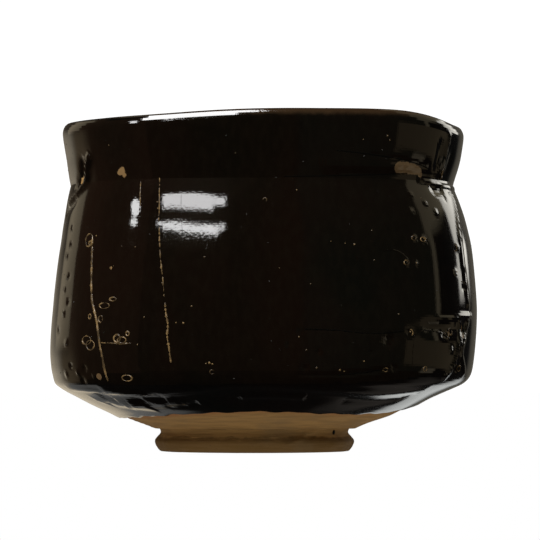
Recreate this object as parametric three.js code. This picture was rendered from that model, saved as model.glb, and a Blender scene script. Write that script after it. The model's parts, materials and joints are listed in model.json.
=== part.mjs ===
// A black-glazed tea bowl with a collared lip, a waist, a full belly, a sharp
// hip and a low bare foot ring. Millimetres, +Z up, the foot stands on z = 0,
// and the origin is under the middle of the bowl. The front faces -Y.
//
// The bowl is thrown round and then paddled towards a rounded square. So every
// piece is lathed first, and squareUp() then moves its vertices the same way,
// which keeps the glaze skins at their distance from the clay.

import * as THREE from 'three';

// Finished outside sizes, over the glaze
const bowlHeight = 92;
const bellyWidth = 118;
const bowlDepth = 111;
const lipWidth = 111;
const waistWidth = 106;
const hipWidth = 114.5;

// Heights along the wall
const hipHeight = 20.5;
const bellyHeight = 36;
const waistDrop = 18.5;       // from the lip down to the crease under the collar
const lipDrop = 2.4;          // from the lip down to where its rounding starts
const hipBevelWidth = 4.2;    // the turn from the wall to the underside
const hipBevelHeight = 3.4;
const shoulderLift = 4;       // how far above halfway the wall starts to close in

// Clay
const wallThickness = 4.4;
const lipThickness = 3.4;
const floorThickness = 5.4;
const poolRadius = 24;        // the shallow dish in the floor
const poolDepth = 0.8;
const innerTurnWidth = 15;    // how far the wall turns in to the floor, inside
const innerTurnHeight = 9.4;

// Foot
const footDiameter = 55;
const footHeight = 6;
const footRingWidth = 7;
const footBeadHeight = 2.8;
const footBeadRound = 1;      // how far above the bead its rounding reaches
const footNeckInset = 1.5;
const footNeckHeight = 0.8;
const footEdgeInset = 1.2;
const footOffset = -2.4;      // the foot sits a little to the left of the bowl

// Glaze
const glazeThickness = 0.6;
const glazeLineWidth = 86;    // where the outside coat stops, above the foot
const glazeLineHeight = 10.9;
const dropRadius = 0.9;
const dropStretch = 1.3;      // a drop is longer than wide
const dropFlatness = 0.5;     // and lies flat on the clay
const dropAngle = -31;        // degrees from +X

// Clearances
const glazeGap = 0.3;
const footGap = 0.3;

// Hand-made plan and lip
const squareness = 2.6;       // 2 is an ellipse, and more is squarer
const lipWave = 0.6;
const lipWaves = 5;
const lipWavePhase = 0.9;

const turns = 48;             // steps round the bowl
const rowsPerStation = 2;     // steps along the section, from one station to the next

const skin = glazeThickness + glazeGap;
const undersideHeight = footHeight + footGap;
const floorTop = undersideHeight + floorThickness;
const waistHeight = bowlHeight - waistDrop;
const lipHeight = bowlHeight - lipDrop;
const footRadius = footDiameter / 2;
const seatRadius = footRadius + footGap;

const clayRadius = (width) => width / 2 - skin;
const smoothRamp = THREE.MathUtils.smoothstep;

const glazeBlack = { color: 0x15100b, roughness: 0.08, metalness: 0 };
const bareClay = { color: 0x8f7349, roughness: 0.85, metalness: 0 };

// ---------------------------------------------------------------------------
// The clay's section, from the seat of the foot, up the outside, over the lip
// and down the inside to the middle of the floor. x is the radius, y the height.

const GLAZE_LINE = 1;
const LIP_CREST = 8;

const stations = [
  [seatRadius, undersideHeight],
  [glazeLineWidth / 2, glazeLineHeight],
  [clayRadius(hipWidth) - hipBevelWidth, hipHeight - hipBevelHeight],
  [clayRadius(hipWidth), hipHeight],
  [clayRadius(bellyWidth), bellyHeight],
  [(clayRadius(bellyWidth) + clayRadius(waistWidth)) / 2, (bellyHeight + waistHeight) / 2 + shoulderLift],
  [clayRadius(waistWidth), waistHeight],
  [clayRadius(lipWidth), lipHeight],
  [clayRadius(lipWidth) - lipThickness / 2, bowlHeight - skin],
  [clayRadius(lipWidth) - lipThickness, lipHeight],
  [clayRadius(waistWidth) - wallThickness, waistHeight],
  [clayRadius(bellyWidth) - wallThickness, bellyHeight],
  [clayRadius(hipWidth) - wallThickness - innerTurnWidth / 4, floorTop + innerTurnHeight],
  [clayRadius(hipWidth) - wallThickness - innerTurnWidth, floorTop + innerTurnHeight / 4],
  [poolRadius, floorTop + poolDepth],
  [0, floorTop],
];

const section = new THREE.CatmullRomCurve3(
  stations.map(([radius, height]) => new THREE.Vector3(radius, height, 0)),
  false,
  'centripetal',
);

const lastStation = stations.length - 1;
const parameterOf = (station) => station / lastStation;

// Points of the section between two stations, moved off the clay by a distance.
// The clay and its skins break at the same stations, so their flats stay parallel.
function offClay(from, to, distance) {
  const breaks = [from];
  const step = 1 / rowsPerStation;
  for (let station = (Math.floor(from / step) + 1) * step; station < to; station += step) {
    breaks.push(station);
  }
  breaks.push(to);
  return breaks.map((station) => {
    const at = section.getPoint(parameterOf(station));
    const along = section.getTangent(parameterOf(station));
    const radius = at.x + along.y * distance;
    return new THREE.Vector2(Math.max(radius, 0), at.y - along.x * distance);
  });
}

// How many stations a length in millimetres is, close to one station.
function stationsFor(length, station) {
  const half = 0.05;
  const before = section.getPoint(parameterOf(station - half));
  const after = section.getPoint(parameterOf(station + half));
  return length * 2 * half / before.distanceTo(after);
}

// ---------------------------------------------------------------------------
// The plan. Nothing moves within the foot's radius, and the full rounded square
// is reached at the hip. The same rule moves every piece.

function squareUp(geometry) {
  const position = geometry.attributes.position;
  for (let i = 0; i < position.count; i++) {
    const x = position.getX(i);
    const y = position.getY(i);
    const z = position.getZ(i);
    const radius = Math.hypot(x, y);
    const angle = Math.atan2(y, x);
    const share = smoothRamp(radius, seatRadius, clayRadius(hipWidth));
    const corner = Math.abs(Math.cos(angle)) ** squareness + Math.abs(Math.sin(angle)) ** squareness;
    const stretch = 1 + share * (corner ** (-1 / squareness) - 1);
    const flatten = 1 - share * (1 - bowlDepth / bellyWidth);
    const collar = smoothRamp(z, waistHeight, bowlHeight);
    position.setXYZ(
      i,
      x * stretch + footOffset * (1 - share),
      y * stretch * flatten,
      z + collar * lipWave * Math.cos(lipWaves * angle + lipWavePhase),
    );
  }
  return geometry;
}

function lathed(profile) {
  const geometry = new THREE.LatheGeometry(profile, turns);
  geometry.rotateX(Math.PI / 2);
  return geometry;
}

function piece(name, geometry, look) {
  geometry.computeVertexNormals();
  const mesh = new THREE.Mesh(geometry, new THREE.MeshStandardMaterial(look));
  mesh.name = name;
  return mesh;
}

// ---------------------------------------------------------------------------
// The pieces

function clayBody() {
  const wall = offClay(0, lastStation, 0);
  const profile = [new THREE.Vector2(0, undersideHeight), ...wall];
  return piece('clay_body', squareUp(lathed(profile)), bareClay);
}

// A turned ring with a bead, a neck above it and a flat face to stand on.
function footRing() {
  const inner = footRadius - footRingWidth;
  const outline = [
    [inner + footEdgeInset, 0],
    [footRadius - footEdgeInset, 0],
    [footRadius, footBeadHeight],
    [footRadius - footNeckInset / 3, footBeadHeight + footBeadRound],
    [footRadius - footNeckInset, footHeight - footNeckHeight],
    [footRadius - footNeckInset, footHeight],
    [inner, footHeight],
    [inner, footEdgeInset],
    [inner + footEdgeInset, 0],
  ];
  const profile = outline.map(([radius, height]) => new THREE.Vector2(radius, height));
  return piece('foot_ring', squareUp(lathed(profile)), bareClay);
}

// The outside coat, from the glaze line up to the crest of the lip.
function outerGlaze() {
  const end = LIP_CREST - stationsFor(glazeGap / 2, LIP_CREST);
  const face = offClay(GLAZE_LINE, end, skin);
  const back = offClay(GLAZE_LINE, end, glazeGap).reverse();
  const profile = [...face, ...back, face[0].clone()];
  return piece('outer_glaze', squareUp(lathed(profile)), glazeBlack);
}

// The inside coat, from the crest of the lip down to the middle of the floor.
function innerGlaze() {
  const start = LIP_CREST + stationsFor(glazeGap / 2, LIP_CREST);
  const face = offClay(start, lastStation, skin);
  const back = offClay(start, lastStation, glazeGap).reverse();
  back[0].x = 0;
  face[face.length - 1].x = 0;
  return piece('inner_glaze', squareUp(lathed([...back, ...face])), glazeBlack);
}

// A drop of glaze that fell on the bare foot and fused there.
function glazeDrop() {
  const geometry = new THREE.SphereGeometry(dropRadius, 10, 8);
  geometry.scale(dropFlatness, 1, dropStretch);
  const drop = piece('glaze_drop', geometry, glazeBlack);
  const angle = THREE.MathUtils.degToRad(dropAngle);
  const reach = footRadius + footGap + dropRadius * dropFlatness;
  drop.position.set(footOffset + reach * Math.cos(angle), reach * Math.sin(angle), footBeadHeight);
  drop.rotation.z = angle;
  return drop;
}

const bowl = new THREE.Group();
bowl.add(clayBody(), footRing(), outerGlaze(), innerGlaze(), glazeDrop());

export default bowl;
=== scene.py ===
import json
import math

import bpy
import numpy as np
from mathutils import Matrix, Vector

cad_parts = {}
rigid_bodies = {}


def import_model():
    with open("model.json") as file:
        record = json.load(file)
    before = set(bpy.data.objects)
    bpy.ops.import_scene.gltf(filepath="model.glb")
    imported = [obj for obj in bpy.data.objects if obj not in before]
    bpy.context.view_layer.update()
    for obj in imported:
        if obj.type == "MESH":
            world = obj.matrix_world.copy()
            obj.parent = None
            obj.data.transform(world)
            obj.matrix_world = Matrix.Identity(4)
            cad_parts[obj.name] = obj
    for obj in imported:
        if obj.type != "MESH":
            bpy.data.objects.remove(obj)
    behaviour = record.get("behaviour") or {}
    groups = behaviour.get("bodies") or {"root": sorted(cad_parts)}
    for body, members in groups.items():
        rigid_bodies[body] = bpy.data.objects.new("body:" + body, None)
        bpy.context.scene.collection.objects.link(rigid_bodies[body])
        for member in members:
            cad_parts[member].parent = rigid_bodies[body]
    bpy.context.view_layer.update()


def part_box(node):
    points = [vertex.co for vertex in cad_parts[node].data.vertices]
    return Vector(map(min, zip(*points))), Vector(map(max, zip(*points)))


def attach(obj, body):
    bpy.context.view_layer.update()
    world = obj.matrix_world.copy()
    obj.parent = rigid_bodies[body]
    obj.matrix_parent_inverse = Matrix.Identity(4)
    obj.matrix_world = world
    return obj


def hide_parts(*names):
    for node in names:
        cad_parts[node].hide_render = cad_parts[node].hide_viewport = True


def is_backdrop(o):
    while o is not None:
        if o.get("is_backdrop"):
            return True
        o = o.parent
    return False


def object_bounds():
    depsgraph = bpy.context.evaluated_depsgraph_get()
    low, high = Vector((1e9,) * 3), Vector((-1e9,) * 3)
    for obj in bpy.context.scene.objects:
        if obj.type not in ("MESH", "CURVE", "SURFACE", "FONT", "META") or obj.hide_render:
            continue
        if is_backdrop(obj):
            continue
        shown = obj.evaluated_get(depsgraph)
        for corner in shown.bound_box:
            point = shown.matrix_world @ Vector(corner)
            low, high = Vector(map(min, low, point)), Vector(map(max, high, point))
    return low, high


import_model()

# %% [markdown]
# # A black tea bowl
#
# This lesson makes a matcha bowl the way a potter does: throw it round, paddle it
# square, trim a foot, pour the glaze, and let the kiln leave its marks. The measured
# frame is already loaded, and it gives the overall width, depth and height.
# Everything is in metres, with +Z up and the front of the bowl facing -Y. Sizes are
# written in millimetres, as a potter would measure them, and MM makes them metres.

MM = 0.001
coat_low, coat_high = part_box("outer_glaze")
foot_low, foot_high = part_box("foot_ring")
drop_low, drop_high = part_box("glaze_drop")

bowl_width = (coat_high.x - coat_low.x) / MM
bowl_depth = (coat_high.y - coat_low.y) / MM
foot_diameter = (foot_high.y - foot_low.y) / MM
foot_height = (foot_high.z - foot_low.z) / MM
foot_middle = (foot_high.x + foot_low.x) / 2 / MM
print(f"bowl {bowl_width:.1f} wide, {bowl_depth:.1f} deep; foot {foot_diameter:.1f} across")

# %% [markdown]
# ## Camera first
#
# The bowl is looked at from the front, from about the height of its hip, through a
# long lens a little under a metre away. From there the near part of the lip stands
# higher than its two ends, and the underside above the foot just shows.

# %% Camera
eye_distance = 0.945
eye_height = 0.0214
aim = (0.0019, 0.0, 0.0501)
seen_width = 0.1496

camera_data = bpy.data.cameras.new("camera")
camera = bpy.data.objects.new("camera", camera_data)
bpy.context.collection.objects.link(camera)
camera.location = (aim[0], -eye_distance, eye_height)
climb = math.atan2(aim[2] - eye_height, eye_distance)
camera.rotation_euler = (math.pi / 2 + climb, 0.0, 0.0)
camera_data.sensor_width = 36.0
camera_data.lens = camera_data.sensor_width * eye_distance / seen_width
camera_data.clip_start = 0.01
bpy.context.scene.camera = camera
print(f"lens {camera_data.lens:.0f} mm, looking up by {math.degrees(climb):.1f} degrees")

# %% [markdown]
# ## Drawing an outline
#
# A thrown wall is one outline spun round an axis. The outline is written as a few
# stations, (radius, height) in millimetres, only where the wall really changes
# direction, and a soft curve is passed through them. The curve could be a Bezier
# with handles, but a curve that simply goes through its stations is easier to set
# from measured sizes.

# %% Soft curves
steps_between = 60


def soft_curve(stations, spacing):
    """Even steps along a smooth curve (centripetal Catmull-Rom) through the stations."""
    points = np.array(stations, float)
    points = np.vstack([2 * points[0] - points[1], points, 2 * points[-1] - points[-2]])
    pieces = []
    for p0, p1, p2, p3 in zip(points, points[1:], points[2:], points[3:]):
        pairs = ((p0, p1), (p1, p2), (p2, p3))
        k1, k2, k3 = np.cumsum([max(np.linalg.norm(b - a), 1e-6) ** 0.5 for a, b in pairs])
        t = np.linspace(k1, k2, steps_between, endpoint=False)[:, None]
        a1 = (k1 - t) / k1 * p0 + t / k1 * p1
        a2 = (k2 - t) / (k2 - k1) * p1 + (t - k1) / (k2 - k1) * p2
        a3 = (k3 - t) / (k3 - k2) * p2 + (t - k2) / (k3 - k2) * p3
        b1 = (k2 - t) / k2 * a1 + t / k2 * a2
        b2 = (k3 - t) / (k3 - k1) * a2 + (t - k1) / (k3 - k1) * a3
        pieces.append((k2 - t) / (k2 - k1) * b1 + (t - k1) / (k2 - k1) * b2)
    dense = np.vstack(pieces + [points[-2][None]])
    run = np.concatenate([[0], np.cumsum(np.linalg.norm(np.diff(dense, axis=0), axis=1))])
    even = np.linspace(0, run[-1], max(2, round(run[-1] / spacing) + 1))
    return np.column_stack([np.interp(even, run, side) for side in dense.T])


def beside(outline, distance):
    """The outline moved to its right-hand side, which is away from the clay."""
    along = np.gradient(outline, axis=0)
    along /= np.linalg.norm(along, axis=1)[:, None]
    return outline + distance * np.column_stack([along[:, 1], -along[:, 0]])


# %% [markdown]
# ## Throwing on the wheel
#
# The outline is drawn in edit mode by pulling one point along, as a finger pulls the
# wall up, and Spin carries it once round the axis. A Screw modifier would do the
# same, but Spin leaves plain faces that can be shaped at once. The doubles along the
# seam are merged and the faces are turned outwards.
#
# The front is where the eye rests, so the turns are bunched there: each point's
# angle is pulled a little towards the front, which makes the front faces about half
# the width of the back ones.

# %% The wheel
front = math.radians(270)
seam_gap = 0.004


def drawn_line(name, points):
    """A line of joined points, given as rows of x, y, z in millimetres."""
    bpy.ops.object.select_all(action="DESELECT")
    bpy.ops.mesh.primitive_plane_add(size=MM, location=(0, 0, 0))
    piece = bpy.context.object
    piece.name = piece.data.name = name
    bpy.ops.object.mode_set(mode="EDIT")
    bpy.ops.mesh.select_all(action="SELECT")
    bpy.ops.mesh.merge(type="CENTER")
    points = np.array(points, float) * MM
    bpy.ops.transform.translate(value=tuple(points[0]))
    for step in np.diff(points, axis=0):
        bpy.ops.mesh.extrude_region_move(TRANSFORM_OT_translate={"value": tuple(step)})
    bpy.ops.object.mode_set(mode="OBJECT")
    return piece


def points_of(piece):
    """The piece's points in millimetres, as rows of x, y, z."""
    flat = np.empty(len(piece.data.vertices) * 3)
    piece.data.vertices.foreach_get("co", flat)
    return flat.reshape(-1, 3) / MM


def place_points(piece, points):
    piece.data.vertices.foreach_set("co", (points * MM).ravel())
    piece.data.update()


def thrown(name, outline, turns, bunching=0.0):
    """Spins an outline of (radius, height) once round the wheel's axis."""
    outline = np.array(outline, float)
    side_view = np.column_stack([outline[:, 0], np.zeros(len(outline)), outline[:, 1]])
    piece = drawn_line(name, side_view)
    bpy.ops.object.mode_set(mode="EDIT")
    bpy.ops.mesh.select_all(action="SELECT")
    bpy.ops.mesh.spin(steps=turns, angle=2 * math.pi, center=(0, 0, 0), axis=(0, 0, 1))
    bpy.ops.mesh.select_all(action="SELECT")
    bpy.ops.mesh.remove_doubles(threshold=seam_gap * MM)
    bpy.ops.mesh.normals_make_consistent(inside=False)
    bpy.ops.mesh.faces_shade_smooth()
    bpy.ops.object.mode_set(mode="OBJECT")
    x, y, z = points_of(piece).T
    angle = np.arctan2(y, x)
    angle = angle - bunching * np.sin(angle - front)
    radius = np.hypot(x, y)
    place_points(piece, np.column_stack([radius * np.cos(angle), radius * np.sin(angle), z]))
    return piece


# %% [markdown]
# ## Paddling it square
#
# The thrown bowl is beaten with a flat paddle while it is still soft: the front and
# back become nearly flat, and the wall turns at four blunt corners. A lattice could
# do this, but its corners are hard to place. A rule that moves every point by its
# angle and height is shorter, and when every piece obeys the same rule the glaze
# stays on the clay.
#
# The rule has four parts: a rounded-square plan that fades out towards the round
# foot, a little sideways lean that differs with height, a lip that rises and falls,
# and a foot that was trimmed off centre.

# %% The paddle
def soft_step(low, high, value):
    t = np.clip((value - low) / (high - low), 0, 1)
    return t * t * (3 - 2 * t)


curve_steps = 720
reach_steps = 180


def eased(stops, spread, period=None):
    """A smooth function through (place, value) stops, rounded over about `spread`."""
    where, what = np.array(stops, float).T
    low, high = (0.0, period) if period else (where.min(), where.max())
    grid = np.linspace(low, high, curve_steps + 1)
    line = np.interp(grid, where, what, period=period)
    reach = np.arange(-reach_steps, reach_steps + 1) * (grid[1] - grid[0])
    kernel = np.exp(-((reach / spread) ** 2))
    ends = "wrap" if period else "edge"
    padded = np.pad(line[:-1] if period else line, reach_steps, mode=ends)
    smooth = np.convolve(padded, kernel / kernel.sum(), mode="valid")
    if period:
        smooth = np.append(smooth, smooth[0])
        return lambda value: np.interp(np.mod(value, period), grid, smooth)
    return lambda value: np.interp(value, grid, smooth)


seat_radius = 28.0
hip_radius = 57.0
squareness = 2.7
lip_height = 90.0
rise_begins = 70.0
rise_inside, rise_outside = 20.0, 50.0

# How far the middle of the bowl stands to the right, by height
lean = eased([(0, foot_middle), (16.5, -2.2), (20, -0.4), (27, -0.2), (39, 0.5),
              (57, 0.8), (65, 0.4), (73, -0.4), (80, 0.1), (92, 0.0)], 1.5)

# How far the lip rises, by angle counted from the right-hand side, front at 270
lip_rise = eased([(0, -1.2), (45, 0.5), (90, -0.4), (135, 0.4), (182, -0.3), (205, -0.8),
                  (218, -1.0), (240, -0.5), (261, 0.65), (270, 0.85), (306, 1.05),
                  (314, 0.75), (323, -0.5), (332, -1.8)], 7.0, period=360)


def paddled(points):
    """Where each point of the round bowl goes when it is paddled square."""
    x, y, z = points.T
    radius = np.hypot(x, y)
    angle = np.arctan2(y, x)
    share = soft_step(seat_radius, hip_radius, radius)
    plan = np.abs(np.cos(angle)) ** squareness + np.abs(np.sin(angle)) ** squareness
    stretch = 1 + share * (plan ** (-1 / squareness) - 1)
    flatten = 1 - share * (1 - bowl_depth / bowl_width)
    near_lip = soft_step(rise_begins, lip_height, z)
    near_lip *= soft_step(rise_inside, rise_outside, radius)
    rise = near_lip * lip_rise(np.degrees(angle))
    return np.column_stack([x * stretch + lean(z), y * stretch * flatten, z + rise])


# %% [markdown]
# ## Fingers, folds and creases
#
# A hand-held bowl remembers how it was held. Each mark is a stroke: a path along the
# wall, written as (angle, height) stops, with a width and a height in millimetres
# that is negative for a groove. At this radius one degree is about one millimetre,
# so the unrolled wall can be measured like a flat sheet. Sculpt brushes would do the
# same by hand, but strokes with numbers can be moved and tried again. Above the hip a
# mark moves the wall outwards, and under the hip it moves it downwards.

# %% Strokes
path_step = 0.3


def stroke_weight(angle, height, stops, width):
    """1 along the stroke, falling to 0 beside it and tapering to nothing at both ends."""
    path = soft_curve(stops, path_step)
    weight = np.zeros(len(angle))
    low, high = path.min(axis=0) - 3 * width, path.max(axis=0) + 3 * width
    near = (angle > low[0]) & (angle < high[0]) & (height > low[1]) & (height < high[1])
    near = np.flatnonzero(near)
    if len(near) == 0:
        return weight
    gap = np.hypot(angle[near, None] - path[:, 0], height[near, None] - path[:, 1])
    closest = gap.argmin(axis=1)
    from_end = path_step * np.minimum(closest, len(path) - 1 - closest)
    taper = soft_step(-0.5 * width, 2 * width, from_end)
    weight[near] = taper * np.exp(-((gap[np.arange(len(near)), closest] / width) ** 2))
    return weight


def struck(points, strokes):
    """How far all the strokes together lift each point, in millimetres."""
    x, y, z = points.T
    angle = np.degrees(np.arctan2(y, x)) % 360
    lift = np.zeros(len(points))
    for stops, width, height in strokes:
        lift += height * stroke_weight(angle, z, stops, width)
    return lift


# Stops (angle, height), then how wide and how high
hand_strokes = [
    # the fingertip fold at the waist on the left
    ([(212.6, 80), (211, 77), (209.6, 74.2), (205, 71.2)], 1.6, -1),
    ([(217.5, 80.5), (214.6, 77), (213.4, 74.2), (208.8, 70.6), (200, 67.2)], 1.2, 0.95),
    ([(209, 69), (203.5, 66.5), (197, 64.6)], 1.3, -0.35),
    # a thumb drawn along the waist at the front right leaves a long lens
    ([(300, 79.2), (312, 77.9), (321, 76.6)], 0.75, -0.16),
    ([(292, 74.2), (301, 74.2), (309, 74.4), (318, 74.9)], 0.75, -0.12),
    ([(286, 76.6), (300, 76.4), (312, 75.9)], 2.6, 0.34),
    # the corner under the lip on the right
    ([(329.3, 86.5), (328.2, 80), (328.6, 73.6)], 0.8, 0.45),
    ([(325.6, 85), (325, 79.5), (325.2, 75.2)], 1.5, -0.4),
    ([(332.8, 82.5), (332, 78), (332, 74.5)], 1.5, -0.35),
    ([(317, 73.1), (327, 72.3), (345, 72)], 0.75, 0.55),
    ([(322, 70.6), (326.5, 70.4), (330, 70.7)], 1.1, -0.6),
    # the ridge down the right-hand corner, broken by a crease
    ([(337, 71), (335, 67), (332.3, 60.3), (331.3, 54.1), (331.9, 47), (333.2, 38)],
     1.2, 0.42),
    ([(317.5, 36), (322, 36), (328, 36.7), (337, 37.2)], 0.65, 0.34),
    ([(312, 33.6), (322, 33.2), (334, 33.8)], 1.8, -0.4),
    ([(328, 36), (327.8, 30), (326, 24), (322.5, 19.5)], 0.9, 0.45),
    ([(333.6, 37), (331, 31), (329.6, 27), (334.5, 20.5)], 0.9, 0.5),
    ([(331, 34.5), (330.6, 31)], 1, -0.5),
    # two creases across the front right and the dents at their ends
    ([(279, 32.4), (290, 32.7), (299, 32.1), (308, 32.4)], 0.6, -0.14),
    ([(279, 20.9), (290, 21.1), (297, 21.6), (304, 22.6)], 0.65, -0.26),
    ([(302, 28), (303.4, 29.8), (305.4, 31.6)], 1.35, -0.95),
    ([(298.6, 26.2), (299.4, 27.4)], 0.8, -0.45),
    ([(304.6, 24), (306, 21.9)], 0.6, -0.4),
    # the hip, pressed and ribbed
    ([(222, 17.6), (236, 16.3), (250, 17.3), (262, 18.5), (272, 18.3), (290, 17.2),
      (306, 16.2), (322, 17.2)], 0.9, 0.32),
    ([(206, 17.6), (214, 17.3), (224, 16.6), (236, 16.4)], 0.7, 0.42),
    ([(216, 15.6), (228, 14.8), (240, 15.1)], 1, -0.4),
    ([(221, 12.6), (227, 13.6), (231, 13.4)], 0.7, 0.35),
    ([(231, 14.6), (236, 14), (243, 14.6)], 0.7, 0.35),
    ([(213, 13.2), (217, 13.9), (221, 14.4)], 0.7, -0.35),
    ([(237, 12.6), (243, 12.9), (249, 13.6)], 0.6, -0.3),
    ([(224, 13.4), (236, 13.1), (246, 13.9)], 0.9, 0.35),
    ([(210, 14.6), (220, 13.2), (232, 12.1)], 0.9, 0.35),
    ([(262, 15.4), (272, 15.6), (284, 15.2)], 0.8, 0.3),
    ([(296, 14.4), (308, 13.9), (320, 14.8)], 0.9, -0.3),
]

# Small pits and bumps: (angle, height, width, lift)
hand_dots = [
    (209, 56, 0.8, -0.35), (207.5, 53, 0.7, 0.3), (210.5, 47.5, 0.8, -0.35), (208.6, 44, 0.7, 0.3),
    (211.5, 40.5, 0.9, -0.4), (209.4, 37.5, 0.8, 0.3), (208, 60.5, 0.8, -0.3), (212, 29.5, 0.9, 0.28),
    (206, 33, 0.9, -0.3), (214, 23.5, 0.7, -0.4), (217, 21.6, 0.7, 0.3), (220, 22.8, 0.8, -0.35),
    (223.4, 20.8, 0.7, 0.3), (211, 21.2, 0.9, 0.3), (218.6, 19.4, 0.8, -0.3), (311.6, 57.2, 0.9, 0.42),
    (314.6, 56.8, 0.8, 0.4), (308.6, 50.6, 0.9, 0.4), (311.4, 50.4, 0.7, 0.4), (312.2, 64.4, 0.7, 0.3),
    (313.6, 69, 0.7, 0.25), (321.4, 64.6, 0.8, 0.3), (318, 66.6, 0.7, 0.28), (329, 55.2, 0.8, 0.35),
    (330.6, 44.6, 0.8, -0.4), (326, 48.4, 0.9, 0.3), (328.6, 68.4, 0.8, -0.3), (309, 32.1, 0.9, -0.35),
    (321, 31.6, 1, -0.4), (324, 27.6, 0.9, 0.3), (327.6, 22.4, 0.9, -0.4), (300, 56, 0.6, 0.25),
    (296, 51.6, 0.6, 0.22), (304, 60.2, 0.6, 0.22), (285, 27, 0.7, -0.25), (281.6, 22.8, 0.7, -0.25),
    (290.6, 18.8, 0.8, -0.3), (277, 29, 0.6, -0.2),
]


marks_begin, marks_full = 30, 40
hip_top, hip_low = 19.5, 16.5


def pressed(points):
    """The paddled points, pushed out or in by the marks of the hand."""
    x, y, z = points.T
    radius = np.hypot(x, y)
    angle = np.degrees(np.arctan2(y, x)) % 360
    lift = struck(points, hand_strokes)
    for at_angle, at_height, width, height in hand_dots:
        gap = np.hypot(angle - at_angle, z - at_height)
        lift += height * np.exp(-((gap / width) ** 2))
    lift *= soft_step(marks_begin, marks_full, radius)
    below = soft_step(hip_top, hip_low, z)
    scale = 1 + lift * (1 - below) / np.maximum(radius, 1)
    return np.column_stack([x * scale, y * scale, z - lift * below])


# %% [markdown]
# ## The outside glaze
#
# The coat is a skin about as thick as a fingernail. It starts in a rolled edge on the
# bare clay, turns up over the hip and ends on the crest of the lip. Its outside needs
# many faces, because a glossy black surface shows every ripple, and its hidden back
# needs few. It is spun with a level edge first, and that edge is then slid up and
# down the clay to where the thick glaze really stopped.

# %% Outside glaze: the round shape
wall_stations = [
    (44.9, 12.75), (49.2, 15), (54.2, 17.5), (56.3, 18.9), (57.5, 21.1), (58.2, 25),
    (58.5, 31), (58.3, 40), (57.2, 52), (56.38, 57.7), (55.2, 63.8), (53.93, 68.9),
    (52.78, 72.7), (52.72, 72.95), (52.8, 73.3), (53.95, 78.5), (54.9, 84), (55.32, 87.6),
    (55.2, 88.6), (54.72, 89.7), (54.3, 90.12), (53.6, 90.3),
]
edge_stations = [(41.6, 11.95), (40.9, 11.6), (40.85, 11.2), (41.4, 11.1), (42.6, 11.6)]
glaze_thickness = 0.75
seen_spacing, hidden_spacing = 0.62, 6.0
turns_fine = 540
bunching_fine = 0.38

face = soft_curve(edge_stations + wall_stations, seen_spacing)
back = beside(soft_curve(wall_stations, hidden_spacing), -glaze_thickness)[::-1]
outline = np.vstack([face, back, face[:1]])
outer_glaze = thrown("glaze_outside", outline, turns_fine, bunching_fine)
print("outside glaze:", len(outer_glaze.data.polygons), "faces")

# %% Outside glaze: the edge slides along the clay
clay_under_stations = [(27.8, 6.3), (31.2, 7.7), (34.3, 8.8), (37.4, 9.9), (39.8, 11.1),
                       (42.7, 12.4), (45.2, 13.6), (49, 15.7), (53.6, 18.4), (55.9, 21.2)]
clay_under = soft_curve(clay_under_stations, 0.8)

# Height of the glaze's edge, by angle
glaze_line = eased([(0, 13.6), (30, 12.6), (60, 11.4), (90, 11), (120, 12.2), (150, 10.8),
                    (180, 9.7), (205, 9.9), (227, 10.4), (243, 11.1), (256, 11.5),
                    (271, 11.9), (286, 11.6), (301, 11.1), (315, 10.9), (332, 11.6),
                    (345, 12.8)], 5.0, period=360)
edge_radius = 41.0
hip_foot = 50.0
slide_below = 17.5


def under_height(radius):
    return np.interp(radius, clay_under[:, 0], clay_under[:, 1])


def slid(points):
    """The glaze's lower edge, moved in or out along the clay to the glaze line."""
    x, y, z = points.T
    radius = np.hypot(x, y)
    angle = np.degrees(np.arctan2(y, x)) % 360
    wanted = np.interp(glaze_line(angle), clay_under[:, 1], clay_under[:, 0])
    ragged = 0.25 * np.sin(np.radians(angle * 23)) + 0.2 * np.sin(np.radians(angle * 41 + 60))
    share = np.clip((hip_foot - radius) / (hip_foot - edge_radius), 0, 1.1)
    moved = radius + (wanted - edge_radius + ragged) * (share * (z < slide_below))
    scale = moved / np.maximum(radius, 1)
    climb = under_height(moved) - under_height(radius)
    return np.column_stack([x * scale, y * scale, z + climb])


place_points(outer_glaze, pressed(paddled(slid(points_of(outer_glaze)))))
low_edge = points_of(outer_glaze)[:, 2].min()
print(f"the glaze comes down to {low_edge:.1f} mm above the table")

# %% [markdown]
# ## A crisp waist
#
# At the waist the wall turns from the belly into the band under the lip, within less
# than a millimetre. Smooth shading would round that turn in the reflections, so the
# level edges there are marked sharp. A bevel would cost many more faces.

# %% A crisp waist
waist_low, waist_high = 72.5, 73.5
nearly_level = 0.1


def only(piece):
    """Selects this piece alone and makes it the active one."""
    bpy.ops.object.select_all(action="DESELECT")
    piece.select_set(True)
    bpy.context.view_layer.objects.active = piece


only(outer_glaze)
heights = points_of(outer_glaze)[:, 2]
sharp = 0
for edge in outer_glaze.data.edges:
    one, two = heights[list(edge.vertices)]
    edge.select = bool(abs(one - two) < nearly_level and waist_low < one < waist_high)
    sharp += edge.select
bpy.ops.object.mode_set(mode="EDIT")
bpy.ops.mesh.mark_sharp()
bpy.ops.object.mode_set(mode="OBJECT")
print("sharp edges round the waist:", sharp)

# %% [markdown]
# ## Ripples in the glaze
#
# Melted glaze is never flat: it keeps soft waves from the paddle and smaller ones
# from the pouring. A Displace modifier with a clouds texture gives each size of
# wave, and it is applied at once so that the piece stays a plain mesh.

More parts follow.
